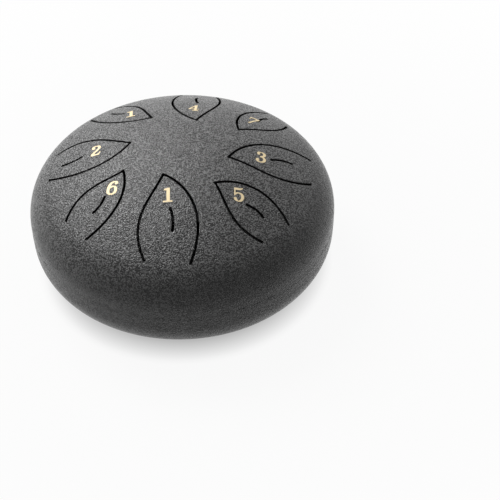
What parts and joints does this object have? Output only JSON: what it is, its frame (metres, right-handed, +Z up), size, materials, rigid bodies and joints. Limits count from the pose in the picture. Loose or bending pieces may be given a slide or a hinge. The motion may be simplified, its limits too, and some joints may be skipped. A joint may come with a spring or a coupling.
{
  "type": "steel tongue drum",
  "caption": "Round domed steel tongue drum: welded upper and lower shells, leaf-shaped sprung tongues with plain numerals, a sound hole in the base and rubber feet.",
  "frame": {"origin": "on the drum's axis, on the surface that the feet stand on", "axes": "+Z up the drum's axis, -Y towards the player, where the lowest tongue points"},
  "size_m": [0.254, 0.254, 0.119],
  "materials": {
    "textured_paint": "dark grey sand-textured paint, semi-matt",
    "gold_foil": "pale gold foil transfer, satin",
    "black_rubber": "matt moulded rubber"
  },
  "bodies": {
    "drum": {"upper_shell": "textured_paint", "lower_shell": "textured_paint", "seam_weld": "textured_paint", "foot_1": "black_rubber", "foot_2": "black_rubber", "foot_3": "black_rubber"},
    "tongue_low_1": {"tongue_low_1": "textured_paint", "numeral_low_1": "gold_foil"},
    "tongue_2": {"tongue_2": "textured_paint", "numeral_2": "gold_foil"},
    "tongue_3": {"tongue_3": "textured_paint", "numeral_3": "gold_foil"},
    "tongue_4": {"tongue_4": "textured_paint", "numeral_4": "gold_foil"},
    "tongue_5": {"tongue_5": "textured_paint", "numeral_5": "gold_foil"},
    "tongue_6": {"tongue_6": "textured_paint", "numeral_6": "gold_foil"},
    "tongue_7": {"tongue_7": "textured_paint", "numeral_7": "gold_foil"},
    "tongue_high_1": {"tongue_high_1": "textured_paint", "numeral_high_1": "gold_foil"}
  },
  "joints": [
    {"name": "flex_low_1", "type": "hinge", "parent": "drum", "child": "tongue_low_1", "pos_m": [0.00293, -0.10639, 0.09034], "axis": [1, 0, 0], "range_deg": [-0.5, 0.5], "stiffness_Nm_per_rad": 210},
    {"name": "flex_2", "type": "hinge", "parent": "drum", "child": "tongue_2", "pos_m": [-0.10636, -0.00363, 0.09034], "axis": [0.0087, -1, 0], "range_deg": [-0.5, 0.5], "stiffness_Nm_per_rad": 210},
    {"name": "flex_3", "type": "hinge", "parent": "drum", "child": "tongue_3", "pos_m": [0.10611, 0.00816, 0.09034], "axis": [-0.0523, 0.9986, 0], "range_deg": [-0.5, 0.5], "stiffness_Nm_per_rad": 210},
    {"name": "flex_4", "type": "hinge", "parent": "drum", "child": "tongue_4", "pos_m": [0.00204, 0.1064, 0.09034], "axis": [-0.999, 0.0436, 0], "range_deg": [-0.5, 0.5], "stiffness_Nm_per_rad": 210},
    {"name": "flex_5", "type": "hinge", "parent": "drum", "child": "tongue_5", "pos_m": [0.08187, -0.06798, 0.09034], "axis": [0.6561, 0.7547, 0], "range_deg": [-0.5, 0.5], "stiffness_Nm_per_rad": 210},
    {"name": "flex_6", "type": "hinge", "parent": "drum", "child": "tongue_6", "pos_m": [-0.07229, -0.07809, 0.09034], "axis": [0.7193, -0.6947, 0], "range_deg": [-0.5, 0.5], "stiffness_Nm_per_rad": 210},
    {"name": "flex_7", "type": "hinge", "parent": "drum", "child": "tongue_7", "pos_m": [0.07374, 0.07672, 0.09034], "axis": [-0.7071, 0.7071, 0], "range_deg": [-0.5, 0.5], "stiffness_Nm_per_rad": 210},
    {"name": "flex_high_1", "type": "hinge", "parent": "drum", "child": "tongue_high_1", "pos_m": [-0.07809, 0.07229, 0.09034], "axis": [-0.6947, -0.7193, 0], "range_deg": [-0.5, 0.5], "stiffness_Nm_per_rad": 210}
  ]
}
